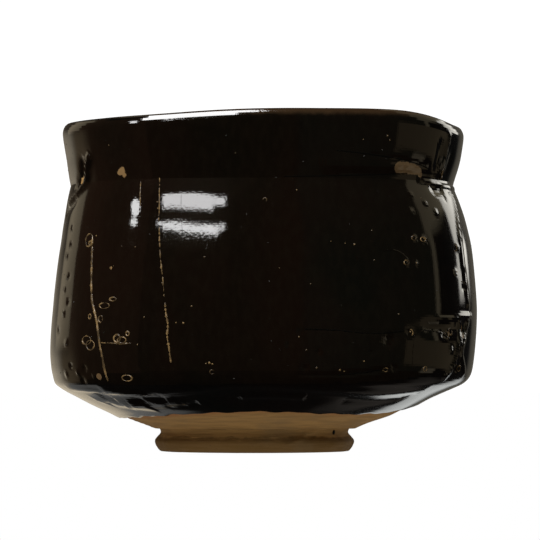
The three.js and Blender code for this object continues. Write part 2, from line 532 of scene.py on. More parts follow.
# %% Ripples
def rippled(piece, name, size, height):
    """Pushes the surface in and out by soft noise of this size and height, in millimetres."""
    waves = bpy.data.textures.new(name, "CLOUDS")
    waves.noise_scale = size * MM
    waves.noise_depth = 1
    only(piece)
    ripple = piece.modifiers.new(name, "DISPLACE")
    ripple.texture = waves
    ripple.texture_coords = "LOCAL"
    ripple.strength = height * MM
    ripple.mid_level = 0.5
    bpy.ops.object.modifier_apply(modifier=ripple.name)
    return piece


rippled(outer_glaze, "paddle waves", 26, 0.16)
rippled(outer_glaze, "pouring waves", 7, 0.012)

# %% [markdown]
# ## The clay body
#
# The clay is what the glazes cover: an inner and an outer wall, a floor, and the bare
# underside that was trimmed with a loop tool. Behind the glazes it is simply their
# outline moved inwards. The bare underside follows the trimmed slope down to the foot.

# %% Clay body
inside_stations = [
    (53, 90), (51.9, 88.8), (51, 84), (49.8, 79), (48.2, 73.6), (49, 69), (50.6, 62),
    (51.8, 52), (52.4, 40), (51.6, 30), (48.8, 22), (43, 16.5), (34, 13.8), (24, 12.9),
    (12, 12.6), (0, 12.6),
]
clearance = 0.25
clay_spacing = 5.0
clay_turns = 240
clay_bunching = 0.3
tuck = glaze_thickness + clearance
seat_height = clay_under_stations[0][1]
seat_middle = 14

above_hip = wall_stations[4:]
hidden = beside(soft_curve(above_hip, clay_spacing), -tuck)
inside = beside(soft_curve(inside_stations, clay_spacing), -tuck)
inside[-1, 0] = 0
outline = np.vstack([[(0, seat_height), (seat_middle, seat_height)], clay_under, hidden, inside])
clay_body = thrown("clay_wall", outline, clay_turns, clay_bunching)
place_points(clay_body, pressed(paddled(points_of(clay_body))))
print("clay body:", len(clay_body.data.polygons), "faces")

# %% [markdown]
# ## Trimming marks
#
# The loop tool leaves fine rings on the underside, and grit dragged by the tool
# leaves a few longer scratches. Only the bare clay shows them, so the points there
# are lifted and lowered a little by their radius, and the scratches are strokes.

# %% Trimming marks
trim_strokes = [
    ([(283, 10.2), (292, 10), (300, 10.5)], 0.35, -0.22),
    ([(288, 9.4), (297, 9.3), (306, 9.9)], 0.35, 0.22),
    ([(296, 8.6), (306, 8.2), (316, 8.9)], 0.4, -0.25),
    ([(291, 11.2), (292.5, 11)], 0.5, 0.45),
    ([(243, 7.6), (262, 7.3), (280, 7.7)], 0.35, -0.15),
]
bare_inside, bare_outside, bare_skin = 22, 47, 0.6

points = points_of(clay_body)
radius = np.hypot(points[:, 0], points[:, 1])
bare = (radius > bare_inside) & (radius < bare_outside)
bare &= points[:, 2] < under_height(radius) + bare_skin
rings = 0.05 * np.sin(radius * 4.3) + 0.04 * np.sin(radius * 9.1 + 1.0)
points[bare, 2] -= rings[bare] + struck(points[bare], trim_strokes)
place_points(clay_body, points)
rippled(clay_body, "clay waves", 9, 0.18)
print("bare points:", int(bare.sum()))

# %% [markdown]
# ## The inside glaze
#
# The inside carries the potter's fingers: a slow spiral of rings up the wall, and a
# shallow pool in the floor where the last of the tea gathers. Its outline is the
# inside of the wall with a small wave along it, spun in the same way. The wave is
# shifted with the angle afterwards, so the rings climb like a real spiral.

# %% Inside glaze
ring_pitch = 8.0
ring_height = 0.28
swirl_height = 0.22
pool_depth = 0.5
floor_below = 20
inner_spacing = 1.2
inner_turns = 288

face = soft_curve(inside_stations, inner_spacing)
face[-1, 0] = 0
back = beside(soft_curve(inside_stations, clay_spacing), -glaze_thickness)[::-1]
back[0, 0] = 0
inner_glaze = thrown("glaze_inside", np.vstack([back, face]), inner_turns)


def finger_rings(points):
    """The inner wall waved in and out by a spiral of finger rings."""
    x, y, z = points.T
    radius = np.hypot(x, y)
    turn = np.arctan2(y, x) / (2 * math.pi)
    wave = ring_height * np.sin(2 * math.pi * (z / ring_pitch - turn))
    wave *= soft_step(17, 26, z) * soft_step(86, 76, z)
    swirl = swirl_height * np.sin(2 * math.pi * (radius / ring_pitch + turn))
    swirl *= soft_step(4, 12, radius) * soft_step(44, 36, radius)
    pool = pool_depth * soft_step(25, 21, radius)
    scale = 1 + wave / np.maximum(radius, 1)
    return np.column_stack([x * scale, y * scale, z + (swirl - pool) * (z < floor_below)])


place_points(inner_glaze, pressed(paddled(finger_rings(points_of(inner_glaze)))))
rippled(inner_glaze, "inner waves", 16, 0.3)
print("inside glaze:", len(inner_glaze.data.polygons), "faces")

# %% [markdown]
# ## The foot
#
# The foot ring is cut from the same clay and left bare. It has an undercut neck, a
# fat bead and a worn lower edge, all uneven because the clay was leather-hard and
# coarse. It is spun like the rest, moved to where it was trimmed, then roughened.

# %% Foot ring
foot_radius = foot_diameter / 2
ring_width = 7.0
bead_height = 2.9
foot_stations = [
    (foot_radius - ring_width + 0.4, foot_height), (foot_radius - ring_width, 2.0),
    (foot_radius - ring_width + 1.0, 0.0), (foot_radius - 1.7, 0.0), (foot_radius - 0.7, 0.9),
    (foot_radius, bead_height), (foot_radius - 0.7, 4.0), (foot_radius - 1.6, 5.2),
    (foot_radius - 1.2, 6.5),
]
foot_strokes = [
    ([(190, 3.9), (215, 3.6), (240, 4.1), (262, 3.8), (285, 3.9), (305, 4.4),
      (325, 4), (345, 4.2)], 0.5, -0.3),
    ([(286, 2), (296, 3.4), (304, 5.2), (311, 5.7)], 0.6, 0.4),
    ([(250, 1.2), (262, 1.9), (274, 1.5)], 0.9, 0.22),
    ([(318, 1.8), (330, 2.6), (338, 2.3)], 0.9, 0.3),
    ([(205, 2.2), (214, 2.8)], 0.9, 0.3),
]
foot_spacing = 0.4
foot_turns = 300
outline = soft_curve(foot_stations, foot_spacing)
foot_ring = thrown("foot", np.vstack([outline, outline[:1]]), foot_turns, clay_bunching)
points = points_of(foot_ring)
radius = np.hypot(points[:, 0], points[:, 1])
proud = (points[:, 2] > 0.3) * soft_step(foot_radius - 4, foot_radius - 2.5, radius)
swell = 1 + struck(points, foot_strokes) * proud / np.maximum(radius, 1)
points[:, :2] *= swell[:, None]
points[:, 0] += foot_middle
place_points(foot_ring, points)
rippled(foot_ring, "clay lumps", 6, 0.35)
rippled(foot_ring, "clay grit", 1.6, 0.08)
points = points_of(foot_ring)
points[:, 2] = np.maximum(points[:, 2], 0)
place_points(foot_ring, points)
print("foot ring:", len(foot_ring.data.polygons), "faces")

# %% [markdown]
# ## Lines that ran, bubbles that burst
#
# As the glaze melted, thin lines ran down it, and bubbles burst and healed into small
# rings and beads. They are only half a millimetre wide, so pushing the big surface
# about would make them coarse. Each is modelled by itself and sunk partly into the
# coat, at the point where a level line through the wall meets the glaze.

# %% Finding a place on the glaze
line_start = 0.1
bpy.context.view_layer.update()


def on_glaze(angle, height):
    """The point on the outside glaze at this angle and height, and which way it faces."""
    away = Vector((math.cos(math.radians(angle)), math.sin(math.radians(angle)), 0))
    start = away * line_start + Vector((0, 0, height * MM))
    _, place, facing, _ = outer_glaze.ray_cast(start, -away)
    return place / MM, facing


def joined(name, pieces):
    """Several small meshes made one piece, with its place in its mesh."""
    bpy.ops.object.select_all(action="DESELECT")
    for piece in pieces:
        piece.select_set(True)
    bpy.context.view_layer.objects.active = pieces[0]
    if len(pieces) > 1:
        bpy.ops.object.join()
    piece = bpy.context.object
    bpy.ops.object.transform_apply(location=True, rotation=True, scale=True)
    piece.name = piece.data.name = name
    bpy.ops.object.mode_set(mode="EDIT")
    bpy.ops.mesh.select_all(action="SELECT")
    bpy.ops.mesh.normals_make_consistent(inside=False)
    bpy.ops.mesh.faces_shade_smooth()
    bpy.ops.object.mode_set(mode="OBJECT")
    return piece


# %% [markdown]
# ## Lines
#
# A line is drawn point by point along the wall, turned into a curve, given a round
# section whose radius swells and thins along it, and turned back into a mesh. A
# quarter of its width is sunk in the coat. Four more, as fine as a hair, lie in the
# folds at the front right: they are dark matt lines of painted shade in those creases.

# %% Runs of glaze
run_step = 0.45
run_sink = 0.25


def run_of_glaze(stops, width, uneven):
    """A thin raised line along (angle, height) stops, `width` across, sunk into the coat."""
    spots = [on_glaze(angle, height) for angle, height in soft_curve(stops, run_step)]
    drawn_line("run", [place - facing * width * run_sink for place, facing in spots])
    bpy.ops.object.convert(target="CURVE")
    curve = bpy.context.object.data
    curve.bevel_depth = width / 2 * MM
    curve.bevel_resolution = 1
    curve.use_fill_caps = True
    points = curve.splines[0].points
    for i, point in enumerate(points):
        end = min(i, len(points) - 1 - i) / 3
        wave = math.sin(i * 1.9) + math.sin(i * 0.77 + 1) + math.sin(i * 3.1 + 2)
        point.radius = min(1, 0.35 + end) * (1 + uneven * wave / 3)
    bpy.ops.object.convert(target="MESH")
    return bpy.context.object


# Stops (angle, height), then how wide and how uneven
long_runs = [
    ([(220.7, 55.6), (221.6, 48), (222.6, 41), (224.6, 35.5), (226, 28.9), (227, 23.6),
      (227.4, 18.9)], 0.85, 0.2),
    ([(239.6, 73), (240.6, 66), (241, 61.2)], 0.3, 0.7),
    ([(241.2, 60), (242.2, 52), (243.3, 45.2), (243.7, 41.6)], 0.34, 0.9),
    ([(244, 40), (244.3, 37.2), (244.9, 34), (244.7, 31.4), (245.2, 28), (245.6, 24.2)],
     0.62, 0.9),
    ([(234.1, 72), (234.7, 68), (235.2, 65)], 0.36, 0.8),
    ([(225.8, 29.6), (229.2, 29.4), (232.6, 29.2), (235.2, 29.4)], 0.42, 0.5),
]
black_runs = [
    ([(246.2, 89), (246.1, 80), (246.6, 67), (248.8, 50), (249.4, 38), (250.4, 25)],
     0.14, 0.4),
    ([(302, 53.6), (305, 53.9), (307.4, 53.2), (309.6, 51.2)], 0.5, 0.4),
    ([(311, 31.7), (313.6, 32.9), (317.6, 32.6), (321, 31.9), (323.4, 30.2)], 0.6, 0.6),
    ([(310.6, 31.8), (310.2, 26.5), (310.6, 22.4)], 0.3, 0.5),
]
# Painted shade: dark matt lines laid along the folds at the front right
fold_shade_paths = [
    ([(291, 80.1), (300, 79.3), (310, 78.2), (318, 76.9), (322, 75.9)], 0.34, 0.3),
    ([(276, 73.2), (290, 73.5), (304, 74), (314, 74.6)], 0.32, 0.3),
    ([(281, 33.1), (290, 32.7), (296, 32.1), (302, 32), (308, 32.7)], 0.36, 0.5),
    ([(290, 21), (298, 21.8), (304, 22.9)], 0.34, 0.5),
]
glaze_runs = joined("glaze_runs", [run_of_glaze(*run) for run in long_runs])
rippled(glaze_runs, "ragged run", 1.1, 0.3)
faint_run = joined("faint_run", [run_of_glaze(*run) for run in black_runs])
# painted shade along the front folds
fold_shade_lines = joined("fold_shade_lines", [run_of_glaze(*run) for run in fold_shade_paths])
print("runs:", len(glaze_runs.data.polygons), "faces")

# %% [markdown]
# ## Rings
#
# A burst bubble leaves a low ring. One torus is added for each, turned to face away
# from the wall, squeezed to the ring's own shape and sunk until less than half shows.

# %% Rings
ring_sink = 0.2


def ring_at(angle, height, across, tall, thick):
    """A flattened ring on the glaze, `across` wide and `tall` high over its middle line."""
    place, facing = on_glaze(angle, height)
    bpy.ops.mesh.primitive_torus_add(
        location=(place - facing * thick * ring_sink) * MM,
        rotation=facing.to_track_quat("Z", "Y").to_euler(), major_radius=across / 2 * MM,
        minor_radius=thick / 2 * MM, major_segments=28, minor_segments=8)
    ring = bpy.context.object
    ring.scale = (1, tall / across, 1)
    return ring


# Angle, height, how wide, how tall, how thick
ring_sizes = [
    (219, 56.9, 3.1, 3.4, 0.42), (219.9, 56, 1.5, 1.3, 0.4),
    (221.4, 30.2, 3.4, 2.3, 0.42), (222.8, 28.9, 3, 2.6, 0.4),
    (231.2, 30.6, 1.9, 2.1, 0.42), (234.2, 31.9, 1, 1.1, 0.35), (232.6, 30.2, 2.6, 1.6, 0.36),
    (227, 39.3, 3.4, 1.5, 0.42), (229.6, 41, 2, 1, 0.3),
    (226, 35.8, 1.4, 1.7, 0.34), (222.2, 36.5, 1, 1.2, 0.34),
    (233.3, 20.2, 3, 1.7, 0.42), (256.2, 21.8, 1.1, 1.1, 0.28),
    (309.2, 32.1, 2, 2, 0.34), (321.4, 31.6, 2.6, 2.3, 0.42), (323.6, 32.6, 1.6, 1.8, 0.34),
    (311.5, 57.2, 1.4, 1.2, 0.28), (314.4, 56.9, 1.5, 1.3, 0.28), (308.6, 50.6, 1.7, 1.3, 0.3),
    (329.2, 22.8, 1.9, 1.5, 0.32), (327.5, 55, 1.6, 1.9, 0.3), (314.6, 22.6, 1.3, 1.3, 0.28),
    (303, 22.4, 1.5, 1, 0.26), (270.6, 67, 1, 1, 0.2), (329, 75.4, 1.6, 3, 0.42),
]
glaze_rings = joined("glaze_rings", [ring_at(*size) for size in ring_sizes])
rippled(glaze_rings, "ring wobble", 1.6, 0.5)
print("rings:", len(ring_sizes))

# %% [markdown]
# ## Beads
#
# Bubbles that healed just before the kiln cooled are tiny beads, and each one holds a
# spark of the window. Each is a small ball, squashed and centred on the coat. The
# larger ones have a place of their own and are pale tan, as the rings are: partly the
# thin glaze's own tone and partly a painted glint. The rest are black and scattered by
# a seeded draw, so that they fall the same way every time.

# %% Beads
bead_squash = 0.6
pale_size = 0.8


def bead_at(angle, height, size):
    """A low glassy bead on the glaze."""
    place, facing = on_glaze(angle, height)
    bpy.ops.mesh.primitive_uv_sphere_add(
        segments=10, ring_count=7, radius=size / 2 * MM, location=place * MM,
        rotation=facing.to_track_quat("Z", "Y").to_euler())
    bead = bpy.context.object
    bead.scale = (1, 1, bead_squash)
    return bead


# Angle, height, size
placed_beads = [
    (254, 51.9, 0.6), (251, 39, 0.7), (248.9, 34.6, 0.75), (243.1, 45.1, 0.6), (255.6, 24.2, 0.8),
    (256.4, 23.9, 0.6), (254.7, 24, 0.5), (280, 69.6, 0.5), (283, 44.8, 0.5), (295, 55.3, 0.7),
    (292.6, 55.5, 0.4), (300, 51.2, 0.55), (305.4, 84.1, 0.7), (306.2, 83, 0.5), (235, 54.7, 0.4),
    (231, 55, 0.35), (238.6, 36.2, 0.5), (236.9, 29, 0.45), (228, 49.3, 0.6), (229, 49.8, 0.35),
    (247, 34.7, 0.5), (221.8, 58, 0.5), (218.2, 58.4, 0.4), (239.9, 66.6, 0.45), (240.3, 64.9, 0.45),
    (240.7, 63, 0.4), (242, 53, 0.4), (242.6, 50, 0.4), (262, 79.3, 0.45), (225, 82, 0.4),
    (311.2, 57.4, 0.6), (314.7, 57.2, 0.5), (308.9, 51, 0.5), (311.6, 50.6, 0.5), (284.6, 22.9, 0.7),
    (281.8, 27.6, 0.6), (279.8, 31, 0.5), (290.8, 22.3, 0.7), (292, 22, 0.5), (306, 37, 0.6),
    (309.4, 32.4, 0.6), (321.6, 32, 0.6), (327, 48.6, 0.6), (329.6, 46, 0.6), (317, 68, 0.5),
    (298.6, 83, 0.45), (300, 59, 0.4), (288.8, 56, 0.4), (274.6, 49, 0.35), (297, 24.6, 0.5),
]
seed = 7
scattered_count = 320
draw = np.random.default_rng(seed)
scattered = []
for _ in range(scattered_count):
    angle = draw.uniform(0, 360)
    height = draw.uniform(19, 84)
    scattered.append((angle, height, 0.16 + 0.3 * draw.random() ** 3))
glaze_beads = joined("glaze_beads", [bead_at(*bead) for bead in scattered])
# Partly painted glint: the placed beads take the pale tan thin glaze so that they read as sparks
pale = [bead_at(angle, height, pale_size * size) for angle, height, size in placed_beads]
pale_glint_beads = joined("pale_glint_beads", pale)
print("beads:", len(placed_beads) + len(scattered))

# %% [markdown]
# ## A drop on the foot
#
# One drop of black glaze fell on the neck of the foot and froze there. Its size and
# the side it is on come from the measured frame, and a level line finds the clay of
# the neck there. A ball is added, pulled long in edit mode, and leant into the clay.

# %% Drop
neck_height = 5.4
drop_shift = math.radians(2.6)
drop_squeeze = (0.62, 0.62, 0.82)
drop_sink = 0.2
neck_line_start = 0.06

drop_middle = (drop_low + drop_high) / 2
drop_tall = drop_high.z - drop_low.z
drop_turn = math.atan2(drop_middle.y, drop_middle.x - foot_middle * MM) - drop_shift
outwards = Vector((math.cos(drop_turn), math.sin(drop_turn), 0))
neck_line = Vector((foot_middle * MM, 0, neck_height * MM)) + outwards * neck_line_start
_, neck_place, _, _ = foot_ring.ray_cast(neck_line, -outwards)
bpy.ops.object.select_all(action="DESELECT")
bpy.ops.mesh.primitive_uv_sphere_add(
    segments=24, ring_count=14, radius=drop_tall / 2, location=neck_place)
glaze_drop = bpy.context.object
bpy.ops.object.mode_set(mode="EDIT")
bpy.ops.mesh.select_all(action="SELECT")
bpy.ops.transform.resize(value=drop_squeeze)
bpy.ops.transform.translate(value=tuple(-outwards * drop_sink * MM))
bpy.ops.object.mode_set(mode="OBJECT")
glaze_drop = joined("drop_of_glaze", [glaze_drop])
rippled(glaze_drop, "drop shape", 1.5, 0.3)
print(f"drop {drop_tall * drop_squeeze[2] / MM:.1f} mm tall, {neck_height} mm above the table")

# %% [markdown]
# ## Finishes
#
# Every finish is a Principled shader fed by noise in object coordinates, in metres,
# so the grain stays the same size whatever the piece. A helper adds a node and sets
# its sockets by name, so that each finish below reads as a short recipe.

# %% Node helpers
def new_finish(name, **constants):
    """A material whose Principled shader has these constant sockets set."""
    finish = bpy.data.materials.new(name)
    finish.use_nodes = True
    shader = finish.node_tree.nodes["Principled BSDF"]
    for socket, value in constants.items():
        shader.inputs[socket.replace("_", " ")].default_value = value
    return finish, shader


def add(tree, kind, settings=None, **sockets):
    """A new node. Each named or numbered (s0, s1) socket takes a value or a link."""
    node = tree.nodes.new("ShaderNode" + kind)
    for key, value in (settings or {}).items():
        setattr(node, key, value)
    for key, value in sockets.items():
        numbered = key[0] == "s" and key[1:].isdigit()
        socket = node.inputs[int(key[1:]) if numbered else key.replace("_", " ")]
        if isinstance(value, bpy.types.NodeSocket):
            tree.links.new(value, socket)
        else:
            socket.default_value = value
    return node


def place_of(tree, stretch=(1, 1, 1)):
    """Object coordinates, stretched along each axis."""
    here = add(tree, "TexCoord").outputs["Object"]
    return add(tree, "Mapping", Vector=here, Scale=stretch).outputs["Vector"]


def noise(tree, size, detail=3.0, stretch=(1, 1, 1)):
    """Soft noise from 0 to 1 whose lumps are about `size` millimetres across."""
    where = place_of(tree, stretch)
    return add(tree, "TexNoise", Vector=where, Scale=1 / (size * MM), Detail=detail).outputs["Fac"]


def between(tree, value, low, high):
    """0 below low, 1 above high, with a soft step between them."""
    soft = {"interpolation_type": "SMOOTHSTEP"}
    return add(tree, "MapRange", soft, Value=value, From_Min=low, From_Max=high).outputs["Result"]


def blended(tree, share, first, second):
    """The first colour where share is 0 and the second where it is 1."""
    mix = add(tree, "Mix", {"data_type": "RGBA"}, s0=share, s6=first, s7=second)
    return mix.outputs[2]


def maths(tree, operation, first, second=0.0):
    return add(tree, "Math", {"operation": operation}, s0=first, s1=second).outputs[0]


def tinted(tree, colour, tint, share, strength):
    """The colour moved towards `tint`, by `strength` where share is 1."""
    return blended(tree, maths(tree, "MULTIPLY", share, strength), colour, tint)


def height_plus(tree, size, shift, detail=3.0):
    """The height in metres, made uneven by noise of this size, up to `shift` metres."""
    height = add(tree, "SeparateXYZ", Vector=place_of(tree)).outputs["Z"]
    return maths(tree, "ADD", height, maths(tree, "MULTIPLY", noise(tree, size, detail), shift))


def bumped(tree, shader, height, strength, distance):
    """Tilts the surface and its clear coat, if it has one, by this height pattern."""
    bump = add(tree, "Bump", Strength=strength, Distance=distance, Height=height)
    tree.links.new(bump.outputs["Normal"], shader.inputs["Normal"])
    if shader.inputs["Coat Weight"].default_value > 0:
        tree.links.new(bump.outputs["Normal"], shader.inputs["Coat Normal"])


# %% [markdown]
# ## Black glaze
#
# The glaze is iron-black glass. In strong light it is not quite black: where it is
# thick it is olive, and where the clay bleeds into it a dull red-brown, in soft
# patches that follow the way it ran. A thin sharp coat carries the clear reflections,
# and the rougher layer under it gives the faint haze round them. Tiny waves and pin
# pricks in the normal break up the edges of a reflection, as in real glaze.
#
# In a few spots the glaze crawled back and the fired clay shows tan, and in a longer
# patch at the waist on the right it stayed thin and brown. Each patch is a row of
# spots with a place on the wall and a size, and noise makes the edges ragged.

# %% Black glaze
glaze_olive = (0.0009, 0.0008, 0.0005, 1)
glaze_red = (0.0022, 0.0010, 0.0006, 1)
glaze_edge_brown = (0.050, 0.028, 0.013, 1)
glaze_fleck = (0.0034, 0.0024, 0.0015, 1)
bare_tan = (0.14, 0.085, 0.036, 1)
bare_brown = (0.080, 0.050, 0.024, 1)

# Angle, height, radius
crawled_spots = [(228.2, 75.1, 1.1), (227.4, 74.7, 0.8), (228.8, 74.0, 0.65), (228.3, 49.3, 0.4)]
brown_spots = [(310.2, 76.0, 1.6), (311.4, 75.9, 1.7), (312.7, 75.9, 1.7), (314.0, 75.8, 1.6),
               (315.3, 75.7, 1.5), (316.5, 75.5, 1.3), (317.6, 75.2, 1.0), (318.3, 74.4, 0.8),
               (329.6, 33.4, 0.9), (329.8, 31.6, 0.8), (224.9, 20.6, 0.9)]


def spot_share(tree, spots, ragged):
    """1 inside any of the (angle, height, radius) spots on the outside glaze, 0 elsewhere."""
    here = add(tree, "TexCoord").outputs["Object"]
    nearest = None
    for angle, height, radius in spots:
        place, _ = on_glaze(angle, height)
        away = add(tree, "VectorMath", {"operation": "DISTANCE"}, s0=here, s1=place * MM)
        gap = maths(tree, "DIVIDE", away.outputs["Value"], radius * MM)
        nearest = gap if nearest is None else maths(tree, "MINIMUM", nearest, gap)
    edge = maths(tree, "MULTIPLY_ADD", noise(tree, 0.9, 4), ragged)
    edge.node.inputs[2].default_value = 1 - ragged / 2
    return between(tree, maths(tree, "SUBTRACT", edge, nearest), -0.08, 0.12)


black_glaze, shader = new_finish(
    "black_glaze", Roughness=0.18, Coat_Weight=1.0, Coat_Roughness=0.03, Coat_IOR=1.5)
shader.inputs["Specular IOR Level"].default_value = 0.012
shader.inputs["Specular Tint"].default_value = (1.0, 0.78, 0.56, 1)
tree = black_glaze.node_tree

patches = between(tree, noise(tree, 22, 5, (1, 1, 0.6)), 0.28, 0.72)
colour = blended(tree, patches, glaze_olive, glaze_red)
mottle = between(tree, noise(tree, 1.6, 4, (1, 1, 0.5)), 0.35, 0.75)
colour = tinted(tree, colour, glaze_fleck, mottle, 0.35)
thin_lip = between(tree, height_plus(tree, 5, 0.002), 0.0902, 0.0916)
colour = tinted(tree, colour, glaze_edge_brown, thin_lip, 0.35)
colour = blended(tree, spot_share(tree, brown_spots, 0.25), colour, bare_brown)
colour = blended(tree, spot_share(tree, crawled_spots, 1.1), colour, bare_tan)
tree.links.new(colour, shader.inputs["Base Color"])

prick_spacing = 3.2
cells = add(tree, "TexVoronoi", Vector=place_of(tree), Scale=1 / (prick_spacing * MM))
pricks = between(tree, cells.outputs["Distance"], 0.05, 0.0)
fine = maths(tree, "MULTIPLY", noise(tree, 0.7, 3), 0.5)
skin = maths(tree, "SUBTRACT", fine, maths(tree, "MULTIPLY", pricks, 0.7))
bumped(tree, shader, skin, 0.16, 0.08 * MM)
print(black_glaze.name, len(tree.nodes), "nodes")

# %% [markdown]
# ## Thin glaze, and a painted glint on beads
#
# On the runs and the rings the glaze drained away and the clay glows through it: an
# olive tan, still glossy, darker where a little more glaze stayed. On the larger beads
# the same pale tan is partly a painted glint.

# %% Thin glaze and bead glint
drained_dark = (0.030, 0.019, 0.008, 1)
drained_tan = (0.120, 0.076, 0.030, 1)

thin_glaze_and_glint, shader = new_finish(
    "thin_glaze_and_glint", Roughness=0.5, Coat_Weight=0.35, Coat_Roughness=0.16, Coat_IOR=1.5)
shader.inputs["Specular IOR Level"].default_value = 0.1
tree = thin_glaze_and_glint.node_tree
drained = between(tree, noise(tree, 2.4, 4), 0.36, 0.66)
colour = blended(tree, drained, drained_dark, drained_tan)
tree.links.new(colour, shader.inputs["Base Color"])
bumped(tree, shader, noise(tree, 0.5), 0.3, 0.1 * MM)
print(thin_glaze_and_glint.name, len(tree.nodes), "nodes")

# %% [markdown]
# ## Painted fold shade
#
# The shade down in each fold is painted: a black, quite matt line that reads as a
# fine dark crease across the shine. Colour and roughness are the same all over.

# %% Painted fold shade
fold_shade_glaze, shader = new_finish("fold_shade_glaze", Base_Color=(0.0012, 0.0010, 0.0007, 1), Roughness=0.9)
shader.inputs["Specular IOR Level"].default_value = 0.02
print(fold_shade_glaze.name, "is matt")

# %% [markdown]
# ## Inside glaze
#
# Inside, the same glaze is thicker and a little softer, because whisked tea has worn
# it. It is browner towards the lip, where it ran thin.

# %% Inside glaze finish
inside_olive = (0.0045, 0.0038, 0.0024, 1)
inside_red = (0.012, 0.0066, 0.004, 1)

inside_black, shader = new_finish(
    "inside_glaze", Coat_Weight=0.8, Coat_Roughness=0.08, Coat_IOR=1.5)
shader.inputs["Specular IOR Level"].default_value = 0.25
tree = inside_black.node_tree
patches = between(tree, noise(tree, 18, 5, (1, 1, 0.5)), 0.38, 0.66)
colour = blended(tree, patches, inside_olive, inside_red)
thin_lip = between(tree, height_plus(tree, 4, 0.004), 0.088, 0.0925)
colour = tinted(tree, colour, glaze_edge_brown, thin_lip, 0.75)
tree.links.new(colour, shader.inputs["Base Color"])
worn = add(tree, "MapRange", Value=noise(tree, 7, 4), To_Min=0.30, To_Max=0.50).outputs["Result"]
tree.links.new(worn, shader.inputs["Roughness"])
bumped(tree, shader, noise(tree, 0.9, 4), 0.2, 0.1 * MM)
print(inside_black.name, len(tree.nodes), "nodes")

# %% [markdown]
# ## Bare clay
#
# The clay is a coarse stoneware fired to tan. It is matt, with fine streaks left by
# the trimming tool, dark iron specks, and a lighter, rosier tint higher up with a
# darker tan low on the foot. Along the edge of the glaze a hair of orange shows, where the glaze
# drew iron out of the clay. That line has to follow the glaze, so its strength is
# stored on the clay's points and read by the material. Shade is painted as a darker
# tone along the fold of the neck, just above the foot.

# %% Clay finish
points = points_of(clay_body)
angle = np.degrees(np.arctan2(points[:, 1], points[:, 0])) % 360
flash_width = 0.7
flush = np.exp(-(((glaze_line(angle) - points[:, 2]) / flash_width) ** 2))
flash = clay_body.data.attributes.new("flash", "FLOAT", "POINT")
flash.data.foreach_set("value", flush.astype(np.float32))

tan_clay = (0.122, 0.066, 0.0165, 1)
rosy_clay = (0.275, 0.156, 0.050, 1)
streak_clay = (0.155, 0.088, 0.030, 1)
cloud_clay = (0.150, 0.104, 0.052, 1)
# painted shade for the fold of the neck
neck_shade_clay = (0.110, 0.064, 0.019, 1)
speck_clay = (0.060, 0.034, 0.016, 1)
flash_orange = (0.24, 0.085, 0.028, 1)


def clay_finish(name):
    """Matt tan clay with tool streaks, specks and a rosier upper part."""
    finish, shader = new_finish(name, Roughness=0.86)
    shader.inputs["Specular IOR Level"].default_value = 0.25
    tree = finish.node_tree
    wavy = height_plus(tree, 5, 0.0026, 4)
    colour = blended(tree, between(tree, wavy, 0.0045, 0.0056), tan_clay, rosy_clay)
    streaks = between(tree, noise(tree, 3.5, 5, (0.35, 0.35, 6)), 0.38, 0.66)
    colour = tinted(tree, colour, streak_clay, streaks, 0.5)
    clouds = between(tree, noise(tree, 9, 3), 0.50, 0.72)
    colour = tinted(tree, colour, cloud_clay, clouds, 0.30)
    # Painted shade: the clay darkens along the fold of the neck, in patches
    from_fold = maths(tree, "ABSOLUTE", maths(tree, "SUBTRACT", wavy, 0.0053))
    fold = between(tree, from_fold, 0.00055, 0.0)
    fold = maths(tree, "MULTIPLY", fold, between(tree, noise(tree, 2.2, 3), 0.38, 0.60))
    colour = tinted(tree, colour, neck_shade_clay, fold, 0.75)
    specks = between(tree, noise(tree, 0.45, 2), 0.70, 0.76)
    colour = tinted(tree, colour, speck_clay, specks, 0.8)
    near_glaze = add(tree, "Attribute", {"attribute_name": "flash"}).outputs["Fac"]
    colour = tinted(tree, colour, flash_orange, near_glaze, 0.75)
    tree.links.new(colour, shader.inputs["Base Color"])
    grain = maths(tree, "ADD", noise(tree, 0.5, 5), maths(tree, "MULTIPLY", streaks, 0.5))
    bumped(tree, shader, grain, 0.55, 0.2 * MM)
    print(name, len(tree.nodes), "nodes")
    return finish


bare_clay = clay_finish("bare_clay")
foot_clay = clay_finish("foot_clay")

# %% [markdown]
# ## Putting the finishes on
#
# Each piece gets its finish and rides on the one body of the frame, and the
# measured solid it was shaped after is hidden.

# %% Finishes and frame
fitted = [
    (outer_glaze, black_glaze, "outer_glaze", "outside_glaze"),
    (inner_glaze, inside_black, "inner_glaze", "inside_glaze"),
    (clay_body, bare_clay, "clay_body", "clay"),
    (foot_ring, foot_clay, "foot_ring", "foot_clay"),
    (glaze_drop, black_glaze, "glaze_drop", "outside_glaze"),
    (glaze_runs, thin_glaze_and_glint, "outer_glaze", "outside_glaze"),
    (glaze_rings, thin_glaze_and_glint, "outer_glaze", "outside_glaze"),
    (faint_run, black_glaze, "outer_glaze", "outside_glaze"),
    # painted shade in the front folds
    (fold_shade_lines, fold_shade_glaze, "outer_glaze", "outside_glaze"),
    (glaze_beads, black_glaze, "outer_glaze", "outside_glaze"),
    (pale_glint_beads, thin_glaze_and_glint, "outer_glaze", "outside_glaze"),
]
for piece, finish, node, slot in fitted:
    piece.data.materials.clear()
    piece.data.materials.append(finish)
    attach(piece, "root")
    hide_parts(node)
    print(piece.name, len(piece.data.polygons), "faces,", finish.name)

# %% [markdown]
# ## Table and background
#
# The bowl stands on a plain white table against a plain white background, both lit
# from behind so evenly that no edge shows between them. The table is a plain glow:
# white to the eye, dimmer and warmer to the bowl, and left out of its reflections.

# %% Table
bpy.context.scene.view_settings.view_transform = "Standard"
table_glow = 0.64
warm_glow = (table_glow, table_glow * 0.95, table_glow * 0.88, 1)
table_side = 6

